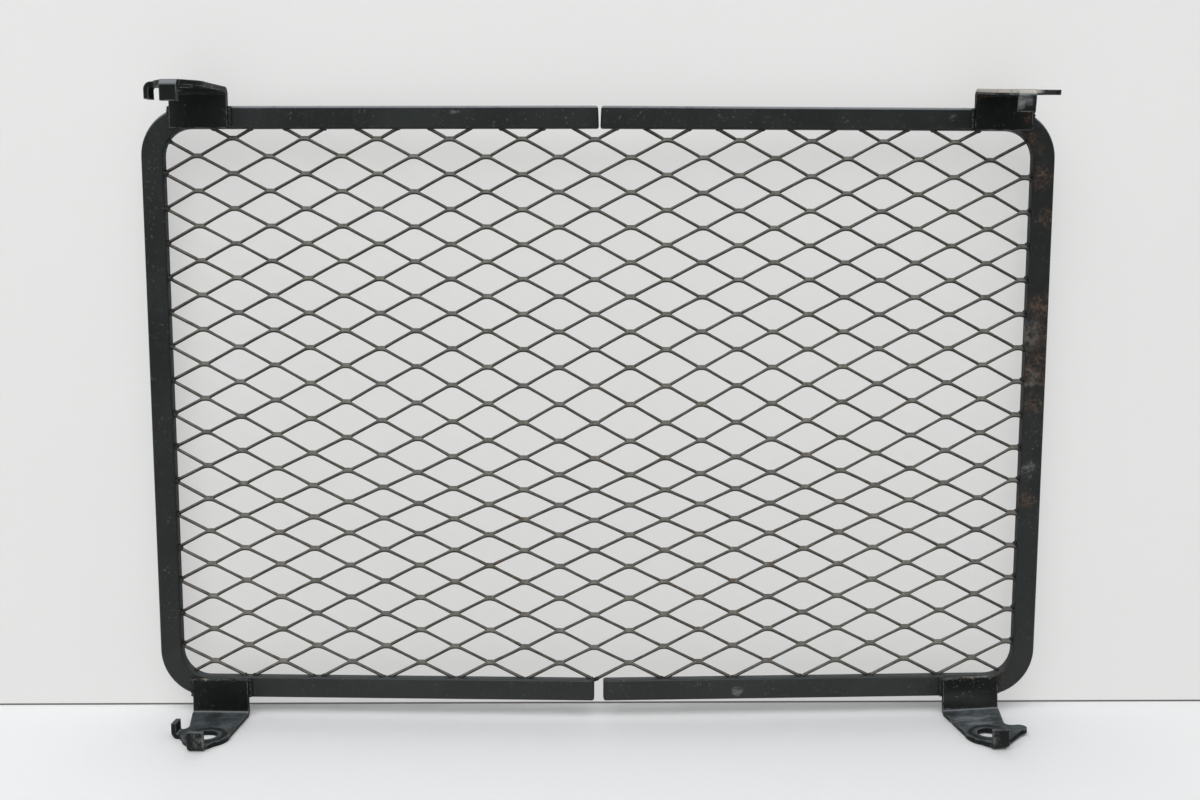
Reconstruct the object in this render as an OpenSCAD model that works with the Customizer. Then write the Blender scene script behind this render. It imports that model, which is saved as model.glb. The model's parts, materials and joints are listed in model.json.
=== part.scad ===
// Motorcycle radiator guard: a sheet of expanded steel mesh inside a frame of two bent flat bars,
// with four folded sheet brackets welded to the front of the frame.
// X is to the right, Y is away from the viewer and Z is up.
// The origin is the middle of the guard's width and depth, at the foot of the lower brackets.

/* [Frame] */
// Width of the frame over its bars, measured along the folded sheet
guard_w = 380; // [280:1:460]
// Height of the frame over its bars
guard_h = 252; // [180:1:340]
// Width of the bar's face
bar_w = 9.2; // [6:0.2:14]
// Depth of the bar, front to back
bar_t = 5; // [3:0.5:10]
// Radius of the frame's inside corners
corner_r = 11.5; // [6:0.5:24]
// Angle by which each half leans back from the middle, in degrees
fold_angle = 2.1; // [0:0.1:6]
// Width of the upper cut at the outside of the bar
top_cut = 1.5; // [0.5:0.1:6]
// Width of the upper cut at the inside of the bar
top_cut_inner = 0.8; // [0.5:0.1:6]
// Width of the lower cut
bottom_cut = 4.1; // [0.5:0.1:10]

/* [Mesh] */
// Long way of one mesh opening, middle to middle
long_way = 30; // [20:0.5:45]
// Short way of one mesh opening, middle to middle
short_way = 14.34; // [10:0.02:22]
// Distance from the left bar to the first column of bonds
first_column = 13.9; // [4:0.1:15]
// Distance from the top bar to the first row of bonds
first_row = 4.3; // [2:0.1:7]
// Thickness of the mesh
mesh_t = 1.4; // [1:0.1:3]
// Depth of the middle of the mesh behind the front of the frame
mesh_depth = 2.2; // [1.8:0.1:4]
// Half the length of the bond where strands meet
bond_half_l = 1.8; // [1:0.1:3]
// Half the height of the bond where strands meet
bond_half_h = 0.8; // [0.4:0.05:1.2]
// How far the upper edge of a bond stands behind its lower edge
bond_lean = 1.6; // [0:0.1:2]

/* [Bent mesh] */
// How far the dented rows of openings have moved down
sag = 3.5; // [0:0.1:5]
// How far the middle of the dented rows bulges to the front
bulge = 1.4; // [0:0.1:3]
// Height of the middle of the dent below the middle of the frame
dent_drop = 16.5; // [0:0.5:60]
// Height over which the dent fades out, up and down
dent_reach = 31.7; // [15:0.1:60]
// How far the rows fan out at the corners of the frame
fan = 0.75; // [0:0.05:2]

/* [Mesh edges] */
// Space between the mesh and the left bar
trim_left = 1.2; // [0.3:0.1:2.5]
// Space between the mesh and the right bar
trim_right = 0.5; // [0.3:0.1:2.5]
// Space between the mesh and the top bar
trim_top = 0.5; // [0.3:0.1:2.5]
// Space between the mesh and the bottom bar
trim_bottom = 1.7; // [0.3:0.1:2.5]
// Radius of a tack weld between a strand and the bar
tack_r = 1.3; // [0.6:0.1:1.5]

/* [Brackets] */
// Width of the bracket's strip
strip_w = 24; // [16:0.5:36]
// Thickness of the bracket's sheet
sheet_t = 2; // [1:0.1:3]
// Inside radius of the bends
bend_r = 1; // [0.5:0.1:2]
// Height of the bracket's flange above the bar
stand_off = 7.3; // [4:0.1:20]
// Length of the flange from the front of the frame
flange_l = 42; // [34:0.5:70]
// Distance from the front of the frame to the hole
hole_forward = 28; // [20:0.5:60]
// Radius of the hole
hole_r = 4.8; // [3:0.1:7]
// Width of metal around the hole
hole_rim = 4.8; // [2.5:0.1:8]
// Distance of the hole and the nose from the middle of the strip, towards the guard's middle
nose_shift = 2; // [0:0.1:5]
// Radius of the corner between the side of the strip and the finger
nose_blend = 2.5; // [1:0.5:6]
// Width of the tab at the nose
tab_w = 6.6; // [4:0.2:12]
// Height of the tab over the outer face of the flange
tab_h = 8.2; // [5:0.2:14]
// Width of the finger beside the hole
finger_w = 6; // [4:0.2:9]
// Distance from the middle of the hole to the tip of a straight finger
finger_reach = 17.4; // [15:0.1:26]
// Distance from the middle of the hole to the outside of a hooked finger
hook_reach = 14.5; // [13.5:0.1:24]
// Height of the hook over the outer face of the flange
hook_h = 6.6; // [5:0.2:12]

/* [Places of the brackets] */
// Distance from the side of the frame to the middle of the upper left bracket
top_left_in = 25.2; // [20:0.2:60]
// Distance from the side of the frame to the middle of the upper right bracket
top_right_in = 23; // [20:0.2:60]
// Distance from the side of the frame to the middle of the lower left bracket
bottom_left_in = 26.2; // [20:0.2:60]
// Distance from the side of the frame to the middle of the lower right bracket
bottom_right_in = 27.8; // [20:0.2:60]
// Distance by which the lower brackets sit further out on the bar
low_drop = 0.8; // [0:0.1:3]

/* [Bent brackets] */
// Angle by which the upper left flange is pressed down, in degrees
left_droop = 2; // [0:0.5:12]
// Angle by which the upper right flange is pressed down, in degrees
right_droop = 7; // [0:0.5:12]
// Angle by which the upper right flange is swung towards the middle, in degrees
upper_swing = 4.5; // [0:0.5:8]
// Angle by which the lower right flange is swung towards the side, in degrees
lower_swing = 2.5; // [0:0.5:8]
// Angle by which the lower right bracket is turned on the bar, in degrees
cant = 2.5; // [0:0.5:5]

/* [Welds] */
// Leg of the welds that hold the brackets to the bar
weld_leg = 1.2; // [0.8:0.1:3]
// Distance from the end of a weld to the edge of the bar
weld_inset = 1; // [0.5:0.1:2]

/* [Hidden] */

paint = [0.16, 0.17, 0.16];
worn_paint = [0.22, 0.22, 0.21];
bare = [0.36, 0.33, 0.30];

half_w = guard_w / 2;
half_h = guard_h / 2;
inner_w = half_w - bar_w;
inner_h = half_h - bar_w;
outer_r = corner_r + bar_w;
bend_outer = bend_r + sheet_t;
flange_top = half_h + stand_off;
nose_r = hole_r + hole_rim;
nose_x = -nose_shift;
finger_back = hole_forward - finger_w;
finger_front = hole_forward;
neck = nose_x + nose_r + nose_blend / 4;

// How far a shape that cuts reaches past what it cuts
over = 1;
// How far flat and bent parts of a sheet reach into each other
lap = 0.3;
// How far a fold stands out from its sheet, so that the flat parts end inside it
fold_swell = lap * lap / bend_outer;

// The origin's place in the guard, from its own sizes
foot_z = -flange_top - low_drop;
furthest_in = max(top_left_in, bottom_left_in, bottom_right_in) + nose_shift + tab_w / 2;
front_y = (half_w - furthest_in) * sin(fold_angle) - flange_l * cos(fold_angle);
back_y = half_w * sin(fold_angle) + bar_t * cos(fold_angle);
middle_y = (front_y + back_y) / 2;

// Puts the guard's middle line at the origin and its foot on the ground
module set_down() translate([0, -middle_y, -foot_z]) children();

// Leans one half of the guard back about the middle line: side is -1 for left, 1 for right
module lean_back(side) set_down() rotate([0, 0, side * fold_angle]) children();

// Stands a flat outline up: its front is at Y 0 and it goes back by depth
module upright(depth) translate([0, depth, 0]) rotate([90, 0, 0]) linear_extrude(depth) children();

module rounded(w, h, r) {
    square([w - 2 * r, h], center = true);
    square([w, h - 2 * r], center = true);
    for (sx = [-1, 1], sy = [-1, 1])
        translate([sx * (w / 2 - r), sy * (h / 2 - r)]) circle(r, $fn = 64);
}

// Outline of the right half of the frame
module half_outline() {
    past_w = half_w + over;
    past_h = half_h + over;
    difference() {
        rounded(guard_w, guard_h, outer_r);
        rounded(2 * inner_w, 2 * inner_h, corner_r);
        polygon([
            [-past_w, -past_h],
            [bottom_cut / 2, -past_h],
            [bottom_cut / 2, 0],
            [top_cut_inner / 2, inner_h],
            [top_cut / 2, half_h],
            [top_cut / 2, past_h],
            [-past_w, past_h]
        ]);
    }
}

module frame_half(side) {
    color(paint)
        lean_back(side)
            upright(bar_t)
                scale([side, 1])
                    half_outline();
}

// Mesh: openings are rhombs with their long way across.
// Bonds sit where column i plus row j is odd, and each has a left, upper, right and lower tip.
// The table of bonds has a spare row above and below, because bent rows move up and down.
column_step = long_way / 2;
row_step = short_way / 2;
first_i = -floor(first_column / column_step);
last_i = floor((2 * inner_w - first_column) / column_step);
first_j = -floor(first_row / row_step) - 1;
last_j = floor((2 * inner_h - first_row) / row_step) + 1;
columns = last_i - first_i + 1;

// Middle of a bond: distance across, height, depth. The dent lies across the frame and fades out
// at its sides.
function dent(s, level) =
    exp(-pow((level + dent_drop) / dent_reach, 2)) * max(0, 1 - pow(s / inner_w, 2));
function bond(i, j) =
    let (s = -inner_w + first_column + i * column_step, level = inner_h - first_row - j * row_step)
    [s, level - fan * (s / half_w) * (level / half_h) - sag * dent(s, level),
        mesh_depth - bulge * dent(s, level)];

// Tips in the order left, upper, right, lower
TIPS = [
    [-bond_half_l, 0, 0],
    [0, bond_half_h, bond_lean / 2],
    [bond_half_l, 0, 0],
    [0, -bond_half_h, -bond_lean / 2]
];
function tip(i, j, k) = bond(i, j) + TIPS[k];

// The outline to which the mesh is cut
cut_left = -inner_w + trim_left;
cut_right = inner_w - trim_right;
cut_bottom = -inner_h + trim_bottom;
cut_top = inner_h - trim_top;
cut_r = corner_r - trim_top;

function clamped(v, low, high) = min(max(v, low), high);
function inside(p) =
    norm([p[0] - clamped(p[0], cut_left + cut_r, cut_right - cut_r),
        p[1] - clamped(p[1], cut_bottom + cut_r, cut_top - cut_r)]) < cut_r;
function kept(i, j) =
    abs(i + j) % 2 == 1 && inside(tip(i, j, 0)) && inside(tip(i, j, 1))
        && inside(tip(i, j, 2)) && inside(tip(i, j, 3));

// The point at which the edge from p to q leaves the outline
stop_short = 0.97;
function leaving(p, q, low = 0, high = stop_short, n = 22) =
    n == 0 ? p + (q - p) * low :
    let (mid = (low + high) / 2)
    inside(p + (q - p) * mid) ? leaving(p, q, mid, high, n - 1) : leaving(p, q, low, mid, n - 1);

// Each way out of a bond: steps to the next bond, this bond's two tips, the next bond's two tips.
// The first tip of each pair is on the upper edge of the strand.
WAYS = [
    [1, 1, 2, 3, 1, 0],
    [1, -1, 1, 2, 0, 3],
    [-1, -1, 1, 0, 2, 3],
    [-1, 1, 0, 3, 1, 2]
];

bonds = [for (j = [first_j:last_j], i = [first_i:last_i]) if (kept(i, j)) [i, j]];
strands = [for (b = bonds, w = [0, 1]) if (kept(b[0] + WAYS[w][0], b[1] + WAYS[w][1])) [b[0], b[1], w]];
stubs = [for (b = bonds, w = [0:3]) if (!kept(b[0] + WAYS[w][0], b[1] + WAYS[w][1])) [b[0], b[1], w]];

function stub_end(stub, edge) =
    let (way = WAYS[stub[2]])
    leaving(tip(stub[0], stub[1], way[2 + edge]),
        tip(stub[0] + way[0], stub[1] + way[1], way[4 + edge]));

// Place in space of a point on the sheet that lies t behind the front of the frame
function folded(p) =
    let (a = p[0] < 0 ? -fold_angle : fold_angle)
    [p[0] * cos(a) - p[2] * sin(a), p[0] * sin(a) + p[2] * cos(a) - middle_y, p[1] - foot_z];
function layers(p) = [folded(p - [0, 0, mesh_t / 2]), folded(p + [0, 0, mesh_t / 2])];

// Every point has a front and a back copy, one after the other
bond_points = [
    for (j = [first_j:last_j], i = [first_i:last_i], k = [0:3])
        each layers(tip(i, j, k))
];
stub_points = [for (s = stubs, edge = [0, 1]) each layers(stub_end(s, edge))];

function bond_index(i, j, k) = 2 * (4 * ((j - first_j) * columns + i - first_i) + k);
function stub_index(n, edge) = len(bond_points) + 2 * (2 * n + edge);

// The four long sides of a strand, from upper left a and upper right b to lower right c and left d
function strand_sides(a, b, c, d) = [
    [a, b, c, d], [d + 1, c + 1, b + 1, a + 1], [a + 1, b + 1, b, a], [d, c, c + 1, d + 1]
];

bond_faces = [
    for (b = bonds)
        let (n = [for (k = [0:3]) bond_index(b[0], b[1], k)])
            each [n, [n[3] + 1, n[2] + 1, n[1] + 1, n[0] + 1]]
];
strand_faces = [
    for (s = strands)
        let (way = WAYS[s[2]], i = s[0] + way[0], j = s[1] + way[1])
            each strand_sides(bond_index(s[0], s[1], way[2]), bond_index(i, j, way[4]),
                bond_index(i, j, way[5]), bond_index(s[0], s[1], way[3]))
];
stub_faces = [
    for (n = [0:len(stubs) - 1])
        let (s = stubs[n], way = WAYS[s[2]], up = bond_index(s[0], s[1], way[2]),
            down = bond_index(s[0], s[1], way[3]), end_up = stub_index(n, 0), end_down = stub_index(n, 1))
            each way[0] > 0
                ? concat(strand_sides(up, end_up, end_down, down),
                    [[end_up, end_up + 1, end_down + 1, end_down]])
                : concat(strand_sides(end_up, up, down, end_down),
                    [[end_up, end_down, end_down + 1, end_up + 1]])
];

module mesh() {
    color(worn_paint)
        polyhedron(
            points = concat(bond_points, stub_points),
            faces = concat(bond_faces, strand_faces, stub_faces),
            convexity = 20);
}

// Tack welds between the ends of the strands and the bar, on one side of the frame.
// A strand belongs to a side if it ends less than one bond short of the cut there.
end_play = 2 * bond_half_l;
function stub_middle(s) = (stub_end(s, 0) + stub_end(s, 1)) / 2;
function on_straight(v, low, high) = v > low + cut_r + tack_r && v < high - cut_r - tack_r;

module tacks(side_name) {
    across = side_name == "left" || side_name == "right";
    line = side_name == "left" ? cut_left :
        side_name == "right" ? cut_right :
        side_name == "top" ? cut_top : cut_bottom;
    gap = side_name == "left" ? trim_left :
        side_name == "right" ? trim_right :
        side_name == "top" ? trim_top : trim_bottom;
    turn = side_name == "left" ? [0, -90, 0] :
        side_name == "right" ? [0, 90, 0] :
        side_name == "top" ? [0, 0, 0] : [180, 0, 0];
    color(bare)
        for (s = stubs) {
            p = stub_middle(s);
            off = across ? p[0] - line : p[1] - line;
            along = across
                ? on_straight(p[1], cut_bottom, cut_top)
                : on_straight(p[0], cut_left, cut_right);
            if (abs(off) < end_play && along)
                lean_back(p[0] < 0 ? -1 : 1)
                    translate([p[0], p[2], p[1]])
                        rotate(turn)
                            cylinder(r = tack_r, h = gap + abs(off), $fn = 24);
        }
}

// Brackets: drawn for the upper right, with X outwards, -Y to the front and Z up
module bend_section(turn = 90, swell = 0) {
    far = 2 * bend_outer;
    intersection() {
        difference() {
            circle(bend_outer + swell, $fn = 64);
            circle(bend_r - swell, $fn = 64);
        }
        polygon([[0, 0], [far, 0], [far, far], [-far * tan(turn - 90), far]]);
    }
}

module plate() {
    translate([-strip_w / 2, -sheet_t, inner_h])
        cube([strip_w, sheet_t, flange_top - bend_outer - inner_h + lap]);
}

module fold(down) {
    fold_w = strip_w + 2 * fold_swell;
    translate([-fold_w / 2, -bend_outer, flange_top - bend_outer])
        rotate([90, 0, 90])
            linear_extrude(fold_w)
                bend_section(90 + down, fold_swell);
}

// Swings a flat shape inwards about the middle of the fold, seen from above:
// X is outwards and Y to the front
module swing_flat(inwards)
    translate([0, bend_outer]) rotate(inwards) translate([0, -bend_outer]) children();
function swung(p, inwards) =
    [p[0] * cos(inwards) - (p[1] - bend_outer) * sin(inwards),
        bend_outer + p[0] * sin(inwards) + (p[1] - bend_outer) * cos(inwards)];

// Nose and finger of the flange, seen from above. The tab and the hook start inside it.
module nose_outline(hooked) {
    neck_start = finger_back - 2 * nose_blend;
    nose_end = flange_l - bend_outer - lap;
    nose_end_w = tab_w + 2 * lap;
    tip_r = finger_w / 2;
    finger_end = nose_x + (hooked ? hook_reach - bend_outer - lap : finger_reach - tip_r);
    // Angle round the hole at which the nose turns straight to the tab
    shoulder = 38;
    corner = [
        for (a = [0:30:90])
            [neck + nose_blend * (1 - cos(a)), finger_back - nose_blend * (1 - sin(a))]
    ];
    polygon(concat(
        [[nose_x, neck_start], [neck, neck_start]],
        corner,
        [
            [finger_end, finger_back],
            [finger_end, finger_front],
            [nose_x + nose_end_w / 2, nose_end],
            [nose_x - nose_end_w / 2, nose_end],
            [nose_x, hole_forward] + (nose_r - lap) * [-cos(shoulder), sin(shoulder)]
        ]
    ));
    if (!hooked) translate([finger_end, finger_back + tip_r]) circle(tip_r, $fn = 48);
    translate([nose_x, hole_forward]) circle(nose_r, $fn = 64);
}

// Outline of the flange seen from above. The nose swings, and the strip runs into it from the fold.
module flange_outline(hooked, inwards) {
    difference() {
        union() {
            polygon([
                [-strip_w / 2, bend_outer - lap],
                [strip_w / 2, bend_outer - lap],
                [strip_w / 2, bend_outer + 2 * lap],
                swung([neck - lap, finger_back - nose_blend], inwards),
                swung([nose_x - nose_r + lap, hole_forward], inwards),
                [-strip_w / 2, bend_outer + 2 * lap]
            ]);
            swing_flat(inwards) nose_outline(hooked);
        }
        swing_flat(inwards) translate([nose_x, hole_forward]) circle(hole_r, $fn = 64);
    }
}

module hooked_tip() {
    translate([nose_x + hook_reach - bend_outer - 2 * lap, -finger_front, flange_top - sheet_t])
        cube([2 * lap, finger_w, sheet_t]);
    translate([nose_x + hook_reach - bend_outer, -finger_back, flange_top - bend_outer])
        rotate([90, 0, 0])
            linear_extrude(finger_w)
                bend_section();
    translate([nose_x + hook_reach - sheet_t, -finger_front, flange_top - hook_h])
        cube([sheet_t, finger_w, hook_h - bend_outer]);
}

module tab() {
    translate([nose_x - tab_w / 2, -flange_l + bend_outer, flange_top - sheet_t])
        cube([tab_w, 2 * lap, sheet_t]);
    translate([nose_x - tab_w / 2, -flange_l + bend_outer, flange_top - bend_outer])
        rotate([90, 0, 90])
            linear_extrude(tab_w)
                mirror([1, 0])
                    bend_section();
    translate([nose_x - tab_w / 2, -flange_l, flange_top - tab_h])
        cube([tab_w, sheet_t, tab_h - bend_outer]);
}

module flange(hooked, inwards) {
    translate([0, 0, flange_top - sheet_t])
        linear_extrude(sheet_t)
            mirror([0, 1])
                flange_outline(hooked, inwards);
    at_fold(0, inwards) {
        tab();
        if (hooked) hooked_tip();
    }
}

// Turns what it holds about the middle of the fold: down about its line, then inwards
module at_fold(down, inwards) {
    translate([0, -bend_outer, flange_top - bend_outer])
        rotate([down, 0, -inwards])
            translate([0, bend_outer, bend_outer - flange_top])
                children();
}

module bracket_solid(hooked, down, inwards) {
    plate();
    fold(down);
    at_fold(down, 0) flange(hooked, inwards);
}

// Puts a bracket or its welds in one corner of the guard: up is 1 at the top, -1 at the bottom,
// and from_side is the distance from the side of the frame to the bracket's middle.
// A turned bracket is turned about the inner end of its fold, which stays where it was.
module in_corner(side, up, from_side, turn) {
    lean_back(side)
        scale([side, 1, up])
            translate([half_w - from_side - strip_w / 2, 0, flange_top + (up < 0 ? low_drop : 0)])
                rotate([0, turn, 0])
                    translate([strip_w / 2, 0, -flange_top])
                        children();
}

module bracket(side, up, from_side, down = 0, inwards = 0, turn = 0) {
    color(paint)
        in_corner(side, up, from_side, turn)
            bracket_solid(side < 0, down, inwards);
}

// Quarter round beads along both sides of the plate, where it lies on the bar
module welds(side, up, from_side, turn = 0) {
    bead_l = bar_w - 2 * weld_inset - (up < 0 ? low_drop : 0);
    color(bare)
        in_corner(side, up, from_side, turn)
            for (s = [-1, 1])
                translate([s * strip_w / 2, 0, inner_h + weld_inset])
                    intersection() {
                        cylinder(r = weld_leg, h = bead_l, $fn = 32);
                        translate([s < 0 ? -weld_leg : 0, -weld_leg, 0])
                            cube([weld_leg, weld_leg, bead_l]);
                    }
}

frame_half(-1);  // frame_left
frame_half(1);  // frame_right
mesh();
bracket(-1, 1, top_left_in, left_droop);  // bracket_top_left
bracket(1, 1, top_right_in, right_droop, upper_swing);  // bracket_top_right
bracket(-1, -1, bottom_left_in);  // bracket_bottom_left
bracket(1, -1, bottom_right_in, 0, -lower_swing, cant);  // bracket_bottom_right
welds(-1, 1, top_left_in);  // welds_top_left
welds(1, 1, top_right_in);  // welds_top_right
welds(-1, -1, bottom_left_in);  // welds_bottom_left
welds(1, -1, bottom_right_in, cant);  // welds_bottom_right
tacks("left");  // mesh_tacks_left
tacks("right");  // mesh_tacks_right
tacks("top");  // mesh_tacks_top
tacks("bottom");  // mesh_tacks_bottom
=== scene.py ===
"""A motorcycle radiator guard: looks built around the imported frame.

The bars and brackets are the frame's own nodes, with bevelled edges and worn black paint.
The expanded mesh and the welds are modelled here, in the places where the frame has them.
Places and sizes are in millimetres until a mesh, a lamp or the camera is made.
"""
import json
import math
import random

import bmesh
import bpy
from mathutils import Matrix, Vector, noise


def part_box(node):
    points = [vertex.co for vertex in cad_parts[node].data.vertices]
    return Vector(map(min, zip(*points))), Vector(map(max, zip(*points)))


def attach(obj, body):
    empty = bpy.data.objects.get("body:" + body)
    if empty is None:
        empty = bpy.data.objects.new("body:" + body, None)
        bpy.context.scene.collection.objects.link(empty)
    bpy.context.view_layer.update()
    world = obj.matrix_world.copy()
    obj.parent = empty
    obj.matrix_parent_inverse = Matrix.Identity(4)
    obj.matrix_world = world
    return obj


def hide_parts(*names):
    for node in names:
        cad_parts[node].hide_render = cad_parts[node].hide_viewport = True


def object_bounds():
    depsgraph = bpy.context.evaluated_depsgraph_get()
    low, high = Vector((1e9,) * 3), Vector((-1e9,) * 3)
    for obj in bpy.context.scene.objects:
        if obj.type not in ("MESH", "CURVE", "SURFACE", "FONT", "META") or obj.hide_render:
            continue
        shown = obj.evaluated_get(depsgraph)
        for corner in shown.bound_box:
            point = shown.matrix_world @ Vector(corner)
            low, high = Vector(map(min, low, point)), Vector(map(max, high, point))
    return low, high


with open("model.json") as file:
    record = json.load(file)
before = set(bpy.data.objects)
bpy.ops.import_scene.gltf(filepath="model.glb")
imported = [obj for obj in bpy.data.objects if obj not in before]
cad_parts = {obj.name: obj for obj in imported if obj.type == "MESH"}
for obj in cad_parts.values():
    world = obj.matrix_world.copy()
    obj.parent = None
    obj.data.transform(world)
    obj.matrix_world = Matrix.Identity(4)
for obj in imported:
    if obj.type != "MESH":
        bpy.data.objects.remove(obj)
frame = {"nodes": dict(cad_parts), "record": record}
CAD_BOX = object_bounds()
MM = 0.001

# The guard, as its frame has it
FOLD = math.radians(2.1)
BAR_W = 9.2
CORNER_R = 11.5
TOP_CUT_INNER = 0.8
frame_low, frame_high = (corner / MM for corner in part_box("frame_left"))
HALF_W = -frame_low.x / math.cos(FOLD)
HALF_H = (frame_high.z - frame_low.z) / 2
MIDDLE_Z = (frame_high.z + frame_low.z) / 2
FRONT_Y = frame_low.y - TOP_CUT_INNER / 2 * math.sin(FOLD)
INNER_W = HALF_W - BAR_W
INNER_H = HALF_H - BAR_W

# Lattice of the mesh: its pitch, its dent in the middle, and how far its edges stop short
COLUMN_STEP = 15
ROW_STEP = 7.17
FIRST_COLUMN = 13.9
FIRST_ROW = 4.3
MESH_DEPTH = 2.2
BOND_HALF_L = 1.8
BOND_HALF_H = 0.8
SAG = 3.5
BULGE = 1.4
DENT_DROP = 16.5
DENT_REACH = 31.7
FAN = 0.75
TRIM_LEFT = 1.2
TRIM_RIGHT = 0.5
TRIM_TOP = 0.5
TRIM_BOTTOM = 1.7

# Section of a strand, and the outline of a bond seen from the front
STRAND_W = 1.1
STRAND_T = 1.0
STRAND_EDGE = 0.16
BOND_LEAN = math.radians(42)
STRAND_TWIST = 0.12
NOTCH = 1.75
FLAT_TOP = 1.4
ARCH_R = 5.5
ARCH_PARTNER = 1.35
NEAR = 2.4
CORE_COLUMNS = (-0.95, 0, 0.95)
CORE_SLOPE = 0.55

# Rings along a strand, as shares of its length, and how far each edge keeps ahead of them
STRAND_RINGS = (0.06, 0.3, 0.5, 0.7, 0.94)
EDGE_LEAD = 1.06

# Strand ends that run into the bar: how deep, and the steps in which that is found
STUB_SINK = 0.5
STUB_START = 0.02
STUB_STEP = 0.01
STUB_LONGEST = 3
STUB_PARTS = 3

# Points of a ring that show on a bond's upper and lower strand, in order
UPPER_PATH = [1, 0, 7, 6, 5, 4]
LOWER_PATH = [0, 1, 2, 3, 4, 5]

# How much bonds and strands differ from each other
GRILLE_SEED = 11
JITTER = 0.1
LEAN_JITTER = 0.06
WIDTH_JITTER = (0.96, 1.05)
BOW = 0.08

# Camera: place, angles and lens, with the image taken as 1200 by 800
CAMERA_AT = (-4.95, -528.55, 205.23)
CAMERA_PITCH = math.radians(-6.981)
CAMERA_YAW = math.radians(0.556)
CAMERA_ROLL = math.radians(0.097)
IMAGE_W = 1200
IMAGE_H = 800
FOCAL_PX = 1300
SENSOR = 36
CLIP_START_M = 0.01
CLIP_END_M = 20

# Two pixels on the line where the wall meets the floor
SEAM_LEFT = (10, 704.95)
SEAM_RIGHT = (1180, 701.2)


def new_object(name, points, faces, smooth=True):
    """A mesh object from points in millimetres in the row frame."""
    mesh = bpy.data.meshes.new(name)
    mesh.from_pydata([Vector(p) * MM for p in points], [], faces)
    mesh.validate()
    mesh.polygons.foreach_set("use_smooth", [smooth] * len(mesh.polygons))
    made = bpy.data.objects.new(name, mesh)
    bpy.context.scene.collection.objects.link(made)
    return made


# Camera

def camera_turn():
    """From the camera's own directions to those of the guard."""
    turn = Matrix.Rotation(-CAMERA_YAW, 3, "Z")
    turn = turn @ Matrix.Rotation(math.pi / 2 + CAMERA_PITCH, 3, "X")
    return turn @ Matrix.Rotation(CAMERA_ROLL, 3, "Z")


def make_camera():
    """The photograph's camera, as it was fitted to the frame and the mesh."""
    data = bpy.data.cameras.new("camera")
    data.sensor_width = SENSOR
    data.lens = SENSOR * FOCAL_PX / IMAGE_W
    data.clip_start = CLIP_START_M
    data.clip_end = CLIP_END_M
    camera = bpy.data.objects.new("camera", data)
    bpy.context.scene.collection.objects.link(camera)
    camera.matrix_world = Matrix.Translation(Vector(CAMERA_AT) * MM) @ camera_turn().to_4x4()
    bpy.context.scene.camera = camera


def floor_point(pixel):
    """The place on the floor that shows at a pixel, in millimetres."""
    ray = camera_turn() @ Vector((pixel[0] - IMAGE_W / 2, IMAGE_H / 2 - pixel[1], -FOCAL_PX))
    return Vector(CAMERA_AT) - ray * (CAMERA_AT[2] / ray.z)


# Materials

# Patches: size of the noise that frays them, how far it moves their edge, and where they are full,
# as shares of the radius
PATCH_NOISE = 0.8
PATCH_FRAY = 1.5
PATCH_FULL = 0.45

# Where a ring is full, as a share of its width
RING_FULL = 0.3

# Turn of a face against its softened edge, as a cosine: no wear, and full wear
NO_WEAR = 0.985
FULL_WEAR = 0.86
EDGE_SAMPLES = 4


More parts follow.
